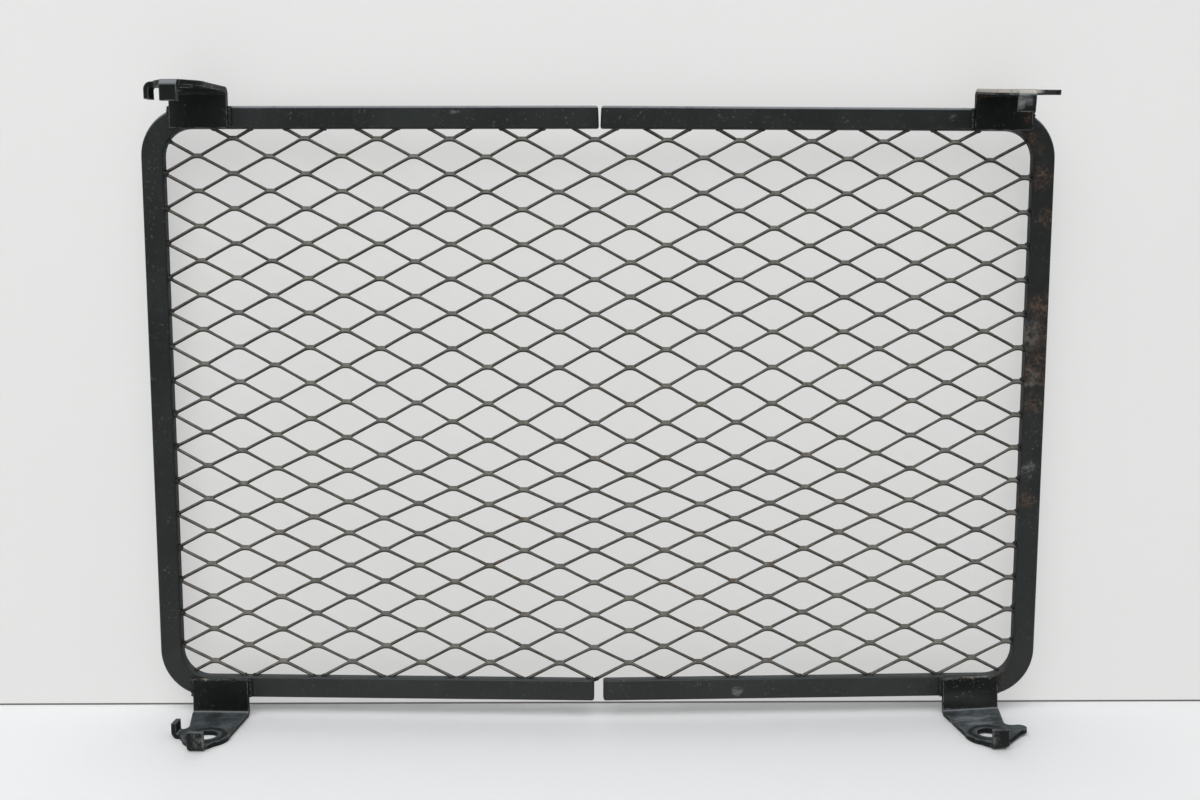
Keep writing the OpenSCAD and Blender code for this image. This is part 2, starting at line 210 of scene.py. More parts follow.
class Finish:
    """One node material, put together step by step."""

    def __init__(self, name):
        self.material = bpy.data.materials.new(name)
        self.material.use_nodes = True
        tree = self.material.node_tree
        self.nodes = tree.nodes
        self.links = tree.links
        self.shader = tree.nodes["Principled BSDF"]
        self.output = tree.nodes["Material Output"]
        self.place = self.nodes.new("ShaderNodeTexCoord").outputs["Object"]
        self.geometry = self.nodes.new("ShaderNodeNewGeometry")

    def feed(self, socket, value):
        """Links an output to a socket, or sets the socket's own number."""
        if isinstance(value, bpy.types.NodeSocket):
            self.links.new(value, socket)
        elif value is not None:
            socket.default_value = value

    def math(self, operation, a, b=None, clamp=False):
        node = self.nodes.new("ShaderNodeMath")
        node.operation = operation
        node.use_clamp = clamp
        self.feed(node.inputs[0], a)
        self.feed(node.inputs[1], b)
        return node.outputs[0]

    def vector(self, operation, a, b=None, output=0):
        node = self.nodes.new("ShaderNodeVectorMath")
        node.operation = operation
        self.feed(node.inputs[0], a)
        self.feed(node.inputs[1], b)
        return node.outputs[output]

    def noise(self, size_mm, detail=3, rough=0.55, stretch=(1, 1, 1), colour=False):
        """Noise whose patches are about size_mm across."""
        at = self.vector("MULTIPLY", self.place, stretch)
        node = self.nodes.new("ShaderNodeTexNoise")
        self.feed(node.inputs["Vector"], at)
        node.inputs["Scale"].default_value = 1 / (size_mm * MM)
        node.inputs["Detail"].default_value = detail
        node.inputs["Roughness"].default_value = rough
        return node.outputs["Color" if colour else "Fac"]

    def band(self, value, low, high, out_low=0, out_high=1):
        """A smooth change from out_low to out_high while the value goes from low to high."""
        node = self.nodes.new("ShaderNodeMapRange")
        node.interpolation_type = "SMOOTHSTEP"
        self.feed(node.inputs["Value"], value)
        self.feed(node.inputs["From Min"], low)
        self.feed(node.inputs["From Max"], high)
        self.feed(node.inputs["To Min"], out_low)
        self.feed(node.inputs["To Max"], out_high)
        return node.outputs["Result"]

    def mix(self, share, a, b):
        """A mix of two colours."""
        node = self.nodes.new("ShaderNodeMix")
        node.data_type = "RGBA"
        self.feed(node.inputs[0], share)
        self.feed(node.inputs[6], a)
        self.feed(node.inputs[7], b)
        return node.outputs[2]

    def times(self, a, b):
        return self.math("MULTIPLY", a, b)

    def either(self, a, b):
        return self.math("MAXIMUM", a, b)

    def upward(self, low=0.25, high=0.9):
        """1 on faces that look up."""
        split = self.nodes.new("ShaderNodeSeparateXYZ")
        self.feed(split.inputs[0], self.geometry.outputs["True Normal"])
        return self.band(split.outputs[2], low, high)

    def patch(self, at, radius):
        """1 inside a ragged round patch, with its middle and radius in millimetres."""
        fray = self.noise(radius * PATCH_NOISE, 4, 0.65, colour=True)
        wander = self.vector("SUBTRACT", fray, (0.5,) * 3)
        shift = self.vector("MULTIPLY", wander, (radius * PATCH_FRAY * MM,) * 3)
        spot = self.vector("ADD", self.place, shift)
        gap = self.vector("DISTANCE", spot, tuple(x * MM for x in at), output=1)
        return self.band(gap, radius * MM, radius * PATCH_FULL * MM)

    def patches(self, places):
        """1 inside any of the patches."""
        total = self.patch(*places[0])
        for place in places[1:]:
            total = self.either(total, self.patch(*place))
        return total

    def height(self, low, high):
        """1 above a height, 0 below, with both ends of the change in millimetres."""
        split = self.nodes.new("ShaderNodeSeparateXYZ")
        self.feed(split.inputs[0], self.place)
        return self.band(split.outputs[2], low * MM, high * MM)

    def rings(self, middles, radius, width):
        """1 on a ring round each of the places, in metres; radius and width are in millimetres."""
        total = 0
        for middle in middles:
            gap = self.vector("DISTANCE", self.place, tuple(middle), output=1)
            off = self.math("ABSOLUTE", self.math("SUBTRACT", gap, radius * MM))
            total = self.either(total, self.band(off, width * MM, width * RING_FULL * MM))
        return total

    def worn_edge(self, radius):
        """1 along sharp edges."""
        node = self.nodes.new("ShaderNodeBevel")
        node.samples = EDGE_SAMPLES
        node.inputs["Radius"].default_value = radius * MM
        turn = self.vector("DOT_PRODUCT", node.outputs[0], self.geometry.outputs["Normal"], output=1)
        return self.band(turn, NO_WEAR, FULL_WEAR)

    def bump(self, height, depth_mm, strength=1.0, under=None):
        """A bumped normal, on top of another one if given."""
        node = self.nodes.new("ShaderNodeBump")
        node.inputs["Strength"].default_value = strength
        node.inputs["Distance"].default_value = depth_mm * MM
        self.feed(node.inputs["Height"], height)
        self.feed(node.inputs["Normal"], under)
        return node.outputs[0]

    def blend(self, share, first, second):
        """A mix of two shader nodes."""
        node = self.nodes.new("ShaderNodeMixShader")
        self.feed(node.inputs[0], share)
        self.links.new(first.outputs[0], node.inputs[1])
        self.links.new(second.outputs[0], node.inputs[2])
        return node

    def finish(self, colour, roughness, normal):
        """Takes the colour, roughness and normal into the shader."""
        self.feed(self.shader.inputs["Base Color"], colour)
        self.feed(self.shader.inputs["Roughness"], roughness)
        self.feed(self.shader.inputs["Normal"], normal)
        return self.material


# Looks: colours, how much the paint mirrors, places of marks, and shares

BLACK = (0.0075, 0.0085, 0.0085, 1)
BLACK_GREEN = (0.014, 0.017, 0.0165, 1)
BLACK_GREY = (0.034, 0.037, 0.037, 1)
DUST = (0.23, 0.23, 0.215, 1)
# Dust mixed with a painted sheen, for faces that look up
BLUE_DUST_AND_SHEEN = (0.20, 0.235, 0.25, 1)
# Painted highlights for the upper edges, first of the bars and then of the brackets
BAR_EDGE_HIGHLIGHT = (0.25, 0.27, 0.285, 1)
PLATE_EDGE_HIGHLIGHT = (0.11, 0.12, 0.13, 1)
CREAM = (0.48, 0.455, 0.40, 1)
# Bare grey of scuffs and worn edges, also used as the painted highlight on the folds
SCUFF_AND_FOLD_HIGHLIGHT = (0.27, 0.28, 0.285, 1)
RUST_DARK = (0.055, 0.028, 0.016, 1)
RUST = (0.125, 0.078, 0.048, 1)
SAND = (0.30, 0.255, 0.195, 1)
MESH_BLACK = (0.019, 0.0185, 0.0155, 1)
MESH_GREY = (0.034, 0.033, 0.028, 1)
# Dust mixed with a painted sheen, for the strands' faces that look up
MESH_DUST_AND_SHEEN = (0.23, 0.22, 0.19, 1)
FLOOR_COLOURS = ((0.84, 0.845, 0.85, 1), (0.865, 0.87, 0.875, 1))
WALL_COLOURS = ((0.785, 0.785, 0.775, 1), (0.81, 0.81, 0.80, 1))
SEAM_COLOUR = (0.06, 0.055, 0.048, 1)

# Specular level. The welds take the mesh's
BAR_SHINE = 0.27
PLATE_SHINE = 0.10
MESH_SHINE = 0.24

# The clean mark that a washer left round each hole
WASHER_R = 7.4
WASHER_MARK = 1.6

# How strong each mark is at most
GREY_SHARE = 0.6
SPECK_SHARE = 0.2
FILM_SHARE = 0.42
RUBBED_SHARE = 0.6
WASHER_SHARE = 0.75
RUST_SHARE = 0.85
MESH_DUST_AND_SHEEN_SHARE = 0.8
MESH_RUST_SHARE = 0.75
MESH_PITS_SHARE = 0.7
WELD_RUST_SHARE = 0.35

# Middle and radius of each rusty, dusty or scuffed place, in millimetres
FRAME_RUST = [
    ((186, 18, 178), 7), ((187, 18, 166), 8), ((186, 18, 152), 10), ((185, 18, 137), 6),
    ((188, 18, 215), 6), ((184, 18, 95), 5), ((152, 16, 249), 3.5), ((176, 18, 244), 9),
    ((186, 18, 232), 7), ((150, 14, 13), 5), ((176, 16, 16), 5)
]
FRAME_DUST = [
    ((181, 18, 166), 8), ((183, 18, 148), 5), ((170, 18, 254), 7), ((184, 18, 108), 5)
]
FRAME_SCUFF = [((146, 16, 256), 2.5), ((-60, 14, 256), 3), ((60, 14, 12), 3)]
BRACKET_RUST = [
    ((157, 14, 265), 4), ((177, 16, 256), 3), ((173, 2, 2), 3), ((-172, -16, 4), 3),
    ((-155, -4, 2), 2.5)
]
BRACKET_SCUFF = [
    ((158, 5, 1), 10), ((168, 6, 1), 6), ((159, -22, 261), 7), ((166, -4, 267), 7),
    ((-172, 8, 266), 5), ((-158, -22, 4), 4), ((156, -24, 6), 6)
]
BRACKET_DUST = [((-158, -24, 6), 7), ((156, -24, 6), 7), ((-152, -5, 266), 8), ((163, -6, 269), 9)]
WELD_RUST = [((153, 16, 18), 4), ((160, 16, 18), 5), ((167, 16, 18), 5), ((-170, 17, 17), 2)]
MESH_RUST = [((60, 12, 60), 60), ((120, 15, 120), 55), ((20, 12, 130), 40), ((-40, 12, 70), 40)]

# Heights at which dust low on the fronts begins and is full, and the same for the painted highlight on
# the upper edges
LOW_DUST = (60, 5)
HIGHLIGHT_HEIGHTS = (MIDDLE_Z, MIDDLE_Z + HALF_H * 0.8)

# Radius of the edges that wear, in millimetres
EDGE_R = 0.7

# Caked dust on the upper right flange: its reach sideways from the hole, and its lower edge
# as a distance from the middle of the sheet
CRUST_FADES = 4
CRUST_ENDS = 9
CRUST_LOW = -0.5
CRUST_FULL = 0.1

# How the paint of the bars and of the brackets differs: the places of dust, scuffs and rust,
# the colour of the painted highlight on the upper edges, and shares of wear, of dust with painted
# sheen on faces that look up, of the painted highlight on folds, and of dust low down
BAR_LOOK = {
    "dusty": FRAME_DUST, "scuffed": FRAME_SCUFF, "rusty": FRAME_RUST, "high": BAR_EDGE_HIGHLIGHT,
    "edges": 0.35, "settled_and_sheen": 0.12, "fold_highlight": 0.0, "low": 0.06, "shine": BAR_SHINE
}
PLATE_LOOK = {
    "dusty": BRACKET_DUST, "scuffed": BRACKET_SCUFF, "rusty": BRACKET_RUST, "high": PLATE_EDGE_HIGHLIGHT,
    "edges": 0.7, "settled_and_sheen": 0.5, "fold_highlight": 0.55, "low": 0.0, "shine": PLATE_SHINE
}


def flange_crust(f):
    """1 on the upper part of the upper right flange, where pale dust has caked."""
    hole = next(m for m in frame["record"]["mounts"] if m["name"] == "hole_upper_right")
    off = f.vector("SUBTRACT", f.place, tuple(hole["pos_m"]))
    above = f.vector("DOT_PRODUCT", off, tuple(hole["axis"]), output=1)
    split = f.nodes.new("ShaderNodeSeparateXYZ")
    f.feed(split.inputs[0], off)
    before_finger = f.band(split.outputs[0], CRUST_ENDS * MM, CRUST_FADES * MM)
    return f.times(f.band(above, CRUST_LOW * MM, CRUST_FULL * MM), before_finger)


# Below, noise takes its size in millimetres, then detail and roughness. band takes a value,
# where its change starts and is done, and the shares at both ends.

def plain_paint(f, broad, fine):
    """Uneven black with a few pale specks."""
    colour = f.mix(f.band(broad, 0.35, 0.68), BLACK, BLACK_GREEN)
    colour = f.mix(f.times(f.band(fine, 0.52, 0.78), GREY_SHARE), colour, BLACK_GREY)
    specks = f.times(f.band(f.noise(1.1, 1, 0.4), 0.66, 0.72), f.band(f.noise(12, 3), 0.45, 0.6))
    return f.mix(f.times(specks, SPECK_SHARE), colour, DUST)


def add_dust_and_highlights(f, colour, look):
    """Dust with a painted sheen on faces that look up, dust low on the fronts and in patches, and a
    painted highlight on the upper edges.

    Gives the new colour and the patches, which are dull.
    """
    # Dust and painted sheen on faces that look up, most of it on the brackets
    settled_and_sheen = f.times(f.upward(), f.band(f.noise(7, 5, 0.7), 0.32, 0.72, 0.1, look["settled_and_sheen"]))
    colour = f.mix(settled_and_sheen, colour, BLUE_DUST_AND_SHEEN)
    colour = f.mix(f.times(f.height(*LOW_DUST), look["low"]), colour, DUST)
    film = f.times(f.patches(look["dusty"]), f.band(f.noise(3, 6, 0.75), 0.42, 0.62, 0, FILM_SHARE))
    colour = f.mix(film, colour, DUST)
    # Painted highlight: faces turned a little up, high on the guard, are lightened as if they caught
    # the light from above
    top = f.times(f.upward(0.12, 0.35), f.height(*HIGHLIGHT_HEIGHTS))
    top = f.times(top, f.band(f.noise(4, 5, 0.7), 0.25, 0.5, 0.55, 0.95))
    return f.mix(top, colour, look["high"]), film


def add_crust(f, colour):
    """Caked dust, broken up a little."""
    crust = f.band(f.noise(3, 5, 0.7), 0.3, 0.45, 0.35, 0.95)
    return f.mix(f.times(flange_crust(f), crust), colour, CREAM)


def add_wear(f, colour, look):
    """Bare grey in the scuffed places and along the edges."""
    scratches = f.band(f.noise(4, 6, 0.75, (0.25, 1, 1)), 0.40, 0.62)
    rubbed = f.times(f.times(f.patches(look["scuffed"]), scratches), RUBBED_SHARE)
    edges = f.times(f.worn_edge(EDGE_R), f.band(f.noise(3, 5, 0.7), 0.40, 0.60, 0, look["edges"]))
    return f.mix(f.either(rubbed, edges), colour, SCUFF_AND_FOLD_HIGHLIGHT)


def paint(name, look, crusted=False):
    """Black paint on steel, with dust, scuffs, worn edges and rust in the look's places, a painted
    sheen on faces that look up, and painted highlights on the upper edges and folds.
    """
    f = Finish(name)
    broad = f.noise(38, 4, 0.6)
    fine = f.noise(2.2, 5, 0.7)
    grain = f.noise(0.55, 2, 0.5)
    colour, film = add_dust_and_highlights(f, plain_paint(f, broad, fine), look)
    # Painted highlight on the bends, between faces that look forward and faces that look up
    fold_highlight = f.times(f.upward(0.3, 0.45), f.upward(0.93, 0.8))
    colour = f.mix(f.times(fold_highlight, look["fold_highlight"]), colour, SCUFF_AND_FOLD_HIGHLIGHT)
    if crusted:
        colour = add_crust(f, colour)
    colour = add_wear(f, colour, look)
    holes = [mount["pos_m"] for mount in frame["record"]["mounts"]]
    colour = f.mix(f.times(f.rings(holes, WASHER_R, WASHER_MARK), WASHER_SHARE), colour, BLACK)
    pits = f.band(f.noise(1.4, 6, 0.75), 0.44, 0.62)
    rust = f.times(f.times(f.patches(look["rusty"]), pits), RUST_SHARE)
    colour = f.mix(rust, colour, f.mix(f.band(f.noise(3.5, 4, 0.6), 0.4, 0.65), RUST_DARK, RUST))
    rough = f.math("ADD", f.band(broad, 0.3, 0.7, 0.36, 0.46), f.times(f.either(film, rust), 0.3))
    rough = f.math("ADD", rough, f.times(fine, 0.08), clamp=True)
    normal = f.bump(grain, 0.02, 0.35)
    normal = f.bump(f.noise(5, 3, 0.5), 0.10, 0.35, normal)
    normal = f.bump(rust, 0.12, 0.8, normal)
    f.shader.inputs["Specular IOR Level"].default_value = look["shine"]
    return f.finish(colour, rough, normal)


def mesh_paint():
    """Thin worn paint over the strands, greyer than the bars, with dust and a painted sheen on faces
    that look up, and brown rust here and there.
    """
    f = Finish("mesh_paint")
    broad = f.noise(60, 3, 0.6)
    fine = f.noise(1.8, 5, 0.7)
    colour = f.mix(f.band(broad, 0.35, 0.65), MESH_BLACK, MESH_GREY)
    # Dust and painted sheen on the strands' faces that look up
    dust = f.times(f.upward(0.1, 0.8), f.band(f.noise(3.5, 5, 0.7), 0.30, 0.66, 0.3, MESH_DUST_AND_SHEEN_SHARE))
    colour = f.mix(dust, colour, MESH_DUST_AND_SHEEN)
    spots = f.band(f.noise(5, 6, 0.75), 0.53, 0.66, 0, MESH_RUST_SHARE)
    pits = f.band(f.noise(11, 6, 0.75), 0.64, 0.74, 0, MESH_PITS_SHARE)
    rust = f.either(f.times(f.patches(MESH_RUST), spots), pits)
    colour = f.mix(rust, colour, f.mix(f.band(fine, 0.4, 0.6), RUST_DARK, RUST))
    rough = f.math("ADD", f.band(fine, 0.3, 0.7, 0.42, 0.56), f.times(rust, 0.3), clamp=True)
    normal = f.bump(fine, 0.05, 0.5)
    normal = f.bump(rust, 0.08, 0.8, normal)
    f.shader.inputs["Specular IOR Level"].default_value = MESH_SHINE
    return f.finish(colour, rough, normal)


def weld_metal():
    """Painted weld with rust and sand colour in its hollows."""
    f = Finish("weld")
    lumps = f.noise(1.6, 5, 0.65)
    colour = f.mix(f.band(lumps, 0.42, 0.62), BLACK_GREEN, BLACK_GREY)
    rust = f.times(f.band(f.noise(2.6, 6, 0.7), 0.55, 0.68), WELD_RUST_SHARE)
    rust = f.either(rust, f.times(f.patches(WELD_RUST), f.band(f.noise(1.6, 5, 0.7), 0.36, 0.56)))
    colour = f.mix(rust, colour, f.mix(f.band(f.noise(2, 4), 0.42, 0.58), RUST_DARK, SAND))
    rough = f.band(lumps, 0.3, 0.7, 0.45, 0.75)
    f.shader.inputs["Specular IOR Level"].default_value = MESH_SHINE
    return f.finish(colour, rough, f.bump(lumps, 0.2, 0.6))


# Stage

STAGE_REACH = 2500

# The dark line at the wall's foot: its height, the part of it that is full, and its strength
SEAM_GAP = 0.9
SEAM_FULL = 0.6
SEAM_SHARE = 0.92

# Least distance from the guard to the wall
WALL_CLEAR = 0.4

FLOOR_ROUGH = 0.55
WALL_ROUGH = 0.6

# Share of the wall that the camera sees evenly lit, as the real wall stood further back
WALL_EVEN = 0.55


def floor_material():
    """Pale and nearly plain."""
    f = Finish("floor")
    colour = f.mix(f.noise(180, 3, 0.5), *FLOOR_COLOURS)
    return f.finish(colour, FLOOR_ROUGH, f.bump(f.noise(3, 3), 0.05, 0.2))


def wall_colour(f):
    """Pale, with a dark line at the foot."""
    colour = f.mix(f.noise(220, 3, 0.5), *WALL_COLOURS)
    split = f.nodes.new("ShaderNodeSeparateXYZ")
    f.feed(split.inputs[0], f.geometry.outputs["Position"])
    foot = f.band(split.outputs[2], SEAM_GAP * MM, SEAM_GAP * SEAM_FULL * MM)
    return f.mix(f.times(foot, SEAM_SHARE), colour, SEAM_COLOUR)


def wall_material():
    """A pale wall, partly evenly lit. From behind, and to the lamps, it isn't there."""
    f = Finish("wall")
    colour = wall_colour(f)
    f.finish(colour, WALL_ROUGH, None)
    clear = f.nodes.new("ShaderNodeBsdfTransparent")
    rays = f.nodes.new("ShaderNodeLightPath")
    even = f.nodes.new("ShaderNodeEmission")
    f.feed(even.inputs[0], colour)
    seen = f.blend(f.times(rays.outputs["Is Camera Ray"], WALL_EVEN), f.shader, even)
    hidden = f.either(f.geometry.outputs["Backfacing"], rays.outputs["Is Shadow Ray"])
    both = f.blend(hidden, seen, clear)
    f.links.new(both.outputs[0], f.output.inputs["Surface"])
    return f.material


def make_stage():
    """A floor, and a wall whose foot shows on the seam's line but stays clear of the guard."""
    left = floor_point(SEAM_LEFT)
    right = floor_point(SEAM_RIGHT)
    along = (right - left).normalized()
    back = CAD_BOX[1].y / MM + WALL_CLEAR
    for corner in (-HALF_W, HALF_W):
        at = left + along * ((corner - left.x) / along.x)
        left.y += max(0, back - at.y)
    ends = [left - along * STAGE_REACH, left + along * STAGE_REACH]
    up = Vector((0, 0, STAGE_REACH))
    wall = new_object("wall", [ends[0], ends[1], ends[1] + up, ends[0] + up], [(0, 1, 2, 3)], False)
    wall.data.materials.append(wall_material())
    sides = ((-1, -1), (1, -1), (1, 1), (-1, 1))
    corners = [(x * STAGE_REACH, y * STAGE_REACH, 0) for x, y in sides]
    floor = new_object("floor", corners, [(0, 1, 2, 3)], False)
    floor.data.materials.append(floor_material())


# Light

AROUND_COLOUR = (0.97, 0.985, 1, 1)
AROUND_STRENGTH = 0.50

# Place, aim and both sides in metres, and power in watts
LAMPS = {
    "key": ((-0.25, -1.0, 1.5), (0, 0, 0.1), 1.6, 1.2, 18),
    "back_fill": ((0, 1.4, 1.0), (0, 0, 0.13), 1.4, 1.0, 4)
}


def area_light(name, at, aim, width, height, power):
    """A soft lamp that looks from one place to another."""
    data = bpy.data.lights.new(name, "AREA")
    data.shape = "RECTANGLE"
    data.size = width
    data.size_y = height
    data.energy = power
    lamp = bpy.data.objects.new(name, data)
    bpy.context.scene.collection.objects.link(lamp)
    lamp.location = at
    lamp.rotation_mode = "QUATERNION"
    lamp.rotation_quaternion = (Vector(aim) - Vector(at)).to_track_quat("-Z", "Y")


def make_light():
    """Light from all round, and the lamps."""
    world = bpy.data.worlds.new("studio")
    bpy.context.scene.world = world
    world.use_nodes = True
    background = world.node_tree.nodes["Background"]
    background.inputs[0].default_value = AROUND_COLOUR
    background.inputs[1].default_value = AROUND_STRENGTH
    for name, lamp in LAMPS.items():
        area_light(name, *lamp)
    bpy.context.scene.view_settings.view_transform = "Standard"


# Lattice: the same rules as the frame's mesh node, on the unfolded sheet.
# A place on it is the distance across, the height over the middle, and the depth.

def dent(s, level):
    """How deep in the dent a place lies, from 0 to 1."""
    across = max(0, 1 - (s / INNER_W) ** 2)
    return math.exp(-((level + DENT_DROP) / DENT_REACH) ** 2) * across


def bond_middle(i, j):
    """Place of a bond on the flat sheet, by column and row."""
    s = -INNER_W + FIRST_COLUMN + i * COLUMN_STEP
    level = INNER_H - FIRST_ROW - j * ROW_STEP
    height = level - FAN * (s / HALF_W) * (level / HALF_H) - SAG * dent(s, level)
    return Vector((s, height, MESH_DEPTH - BULGE * dent(s, level)))


def outside(p, left, right, top, bottom, r):
    """How far a place lies outside the rounded outline: negative inside."""
    x = p[0] - min(max(p[0], -INNER_W + left + r), INNER_W - right - r)
    z = p[1] - min(max(p[1], -INNER_H + bottom + r), INNER_H - top - r)
    return math.hypot(x, z) - r


def off_sheet(p):
    """How far a place lies outside the sheet."""
    return outside(p, TRIM_LEFT, TRIM_RIGHT, TRIM_TOP, TRIM_BOTTOM, CORNER_R - TRIM_TOP)


def in_bar(p):
    """How deep a place lies in the bar, seen from the front."""
    return outside(p, 0, 0, 0, 0, CORNER_R)


def kept(i, j):
    """Whether the sheet has a bond at a column and row."""
    if (i + j) % 2 == 0:
        return False
    middle = bond_middle(i, j)
    tips = [(-BOND_HALF_L, 0), (BOND_HALF_L, 0), (0, BOND_HALF_H), (0, -BOND_HALF_H)]
    return all(off_sheet((middle.x + x, middle.y + z)) < 0 for x, z in tips)


def folded(p):
    """A place on the flat sheet, taken to the folded guard."""
    turn = -FOLD if p[0] < 0 else FOLD
    x = p[0] * math.cos(turn) - p[2] * math.sin(turn)
    y = p[0] * math.sin(turn) + p[2] * math.cos(turn)
    return Vector((x, y + FRONT_Y, p[1] + MIDDLE_Z))


class Grille:
    """Strands and bonds of expanded mesh, as one closed skin.

    A section has four corners: front upper, front lower, back lower and back upper.
    Its ring has eight points, two at each corner. Where two strands run together in a bond,
    the ring points between them are shared, or left out along the middle of the bond.
    """

    def __init__(self, seed):
        self.random = random.Random(seed)
        self.points = []
        self.faces = []
        self.shared = {}
        self.bonds = {}

    def point(self, place, key=None):
        """Number of a new point. With a key, the point is made once and shared."""
        if key is not None and key in self.shared:
            return self.shared[key]
        self.points.append(Vector(place))
        number = len(self.points) - 1
        if key is not None:
            self.shared[key] = number
        return number

    def bond(self, i, j):
        """Middle and directions of a bond, a little different for each."""
        if (i, j) not in self.bonds:
            shift = Vector([self.random.uniform(-JITTER, JITTER) for _ in range(3)])
            lean = BOND_LEAN + self.random.uniform(-LEAN_JITTER, LEAN_JITTER)
            wide = STRAND_W * self.random.uniform(*WIDTH_JITTER)
            self.bonds[(i, j)] = {
                "middle": bond_middle(i, j) + shift,
                "up": Vector((0, math.cos(lean), math.sin(lean))) * wide,
                "front": Vector((0, math.sin(lean), -math.cos(lean))) * STRAND_T / 2,
            }
        return self.bonds[(i, j)]

    def outer(self, bond, x, level, slope):
        """A place on the outer edge of a bond: level is 1 above and -1 below."""
        if level > 0:
            rise = slope * max(0, abs(x) - FLAT_TOP)
        else:
            turn = slope * ARCH_R
            rise = x * x / (2 * ARCH_R) if abs(x) < turn else slope * (abs(x) - turn / 2)
        return bond["middle"] + Vector((x, rise * level, 0)) + bond["up"] * level

    def corners(self, upper, lower, front):
        """The section's four corners from its upper and lower middles."""
        return [upper + front, lower + front, lower - front, upper - front]

    def ring(self, section, keys=None):
        """Eight points round a section. keys names those that are shared."""
        high_front, low_front, low_back, high_back = section
        up = (high_front - low_front).normalized() * STRAND_EDGE
        back = (low_back - low_front).normalized() * STRAND_EDGE
        places = [
            high_front - up, low_front + up, low_front + back, low_back - back,
            low_back + up, high_back - up, high_back - back, high_front + back
        ]
        keys = keys or {}
        return [self.point(keys[n][1], keys[n][0]) if n in keys else self.point(p)
                for n, p in enumerate(places)]

    def slope(self, i, j, side, level):
        """Rise of a strand for each millimetre across, from one bond to the next."""
        a = self.bond(i, j)["middle"]
        b = self.bond(i + side, j - level)["middle"]
        return (abs(b.y - a.y) - STRAND_W) / (abs(b.x - a.x) - NOTCH - NEAR)

    def arm(self, i, j, side, level):
        """Where a strand leaves a bond: its ring there, and its edges' places near and further out."""
        b = self.bond(i, j)
        slope = self.slope(i, j, side, level)
        notch = b["middle"] + Vector((side * NOTCH, 0, 0))
        partner_x = side * (FLAT_TOP if level > 0 else ARCH_PARTNER)
        partner = self.outer(b, partner_x, level, slope)
        further = self.outer(b, side * NEAR, level, slope)
        upper, lower = (partner, notch) if level > 0 else (notch, partner)
        section = self.corners(upper, lower, b["front"])
        step = b["front"].normalized() * STRAND_EDGE
        fronts = [notch + b["front"], notch + b["front"] - step,
                  notch - b["front"] + step, notch - b["front"]]
        numbers = [1, 2, 3, 4] if level > 0 else [0, 7, 6, 5]
        keys = {n: (("notch", i, j, side, k), place)
                for k, (n, place) in enumerate(zip(numbers, fronts))}
        name = ("arm", i, j, side, level)
        if name not in self.shared:
            self.shared[name] = self.ring(section, keys)
        return {"ring": self.shared[name], "notch": notch, "further": further, "front": b["front"]}

    def span(self, first, second, path):
        """Faces between two rings, along a path of ring points."""
        for n, m in zip(path, path[1:]):
            self.faces.append((first[n], first[m], second[m], second[n]))

    def join(self, first, second):
        """Eight long faces between two rings."""
        self.span(first, second, [*range(8), 0])

    def run(self, upper, lower, ring_before, ring_after):
        """Rings along a strand, given its upper and lower edge places.

        Without a ring to end on, the strand is closed off.
        """
        before = ring_before
        count = len(upper)
        for k in range(count):
            ahead = min(k + 1, count - 1)
            behind = max(k - 1, 0)
            along = (upper[ahead] + lower[ahead]) - (upper[behind] + lower[behind])
            wide = upper[k] - lower[k]
            front = wide.cross(along)
            if front.z > 0:
                front = -front
            front = front.normalized() * STRAND_T / 2
            ring = self.ring(self.corners(upper[k], lower[k], front))
            self.join(before, ring)
            before = ring
        if ring_after is not None:
            self.join(before, ring_after)
        else:
            self.faces.append(tuple(before))

    def strand(self, i, j, level):
        """From the right of one bond to the left of the next: level is 1 going up, -1 going down."""
        a = self.arm(i, j, 1, level)
        b = self.arm(i + 1, j - level, -1, -level)
        bow = self.random.uniform(-BOW, BOW)
        inner_from, inner_to = a["notch"], b["further"]
        outer_from, outer_to = a["further"], b["notch"]
        inner, outer = [], []
        for share in STRAND_RINGS:
            middle = 4 * share * (1 - share)
            shift = Vector((0, bow * middle, 0))
            twist = Vector((0, 0, STRAND_TWIST * middle))
            inner_at = inner_from.lerp(inner_to, min(1, share * EDGE_LEAD))
            outer_at = outer_from.lerp(outer_to, max(0, 1 - (1 - share) * EDGE_LEAD))
            inner.append(inner_at + shift + twist * level)
            outer.append(outer_at + shift - twist * level)
        upper, lower = (outer, inner) if level > 0 else (inner, outer)
        self.run(upper, lower, a["ring"], b["ring"])

    def stub(self, i, j, side, level):
        """From a bond out into the bar. Gives the place where it enters and its direction."""
        a = self.arm(i, j, side, level)
        b = self.arm_places(i + side, j - level, -side, -level)
        start = (a["notch"] + a["further"]) / 2
        end = (b["notch"] + b["further"]) / 2
        share = 0
        while in_bar(start.lerp(end, share)) < STUB_SINK and share < STUB_LONGEST:
            share += STUB_STEP
        steps = [STUB_START + (share - STUB_START) * k / STUB_PARTS for k in range(STUB_PARTS + 1)]
        inner = [a["notch"].lerp(b["further"], x) for x in steps]
        outer = [a["further"].lerp(b["notch"], x) for x in steps]
        upper, lower = (outer, inner) if level > 0 else (inner, outer)
        self.run(upper, lower, a["ring"], None)
        tip = start.lerp(end, share)
        return tip, (end - start).normalized()

    def arm_places(self, i, j, side, level):
        """The places that arm gives, for a bond that isn't made."""
        b = self.bond(i, j)
        notch = b["middle"] + Vector((side * NOTCH, 0, 0))
        slope = self.slope(i, j, side, level)
        return {"notch": notch, "further": self.outer(b, side * NEAR, level, slope)}

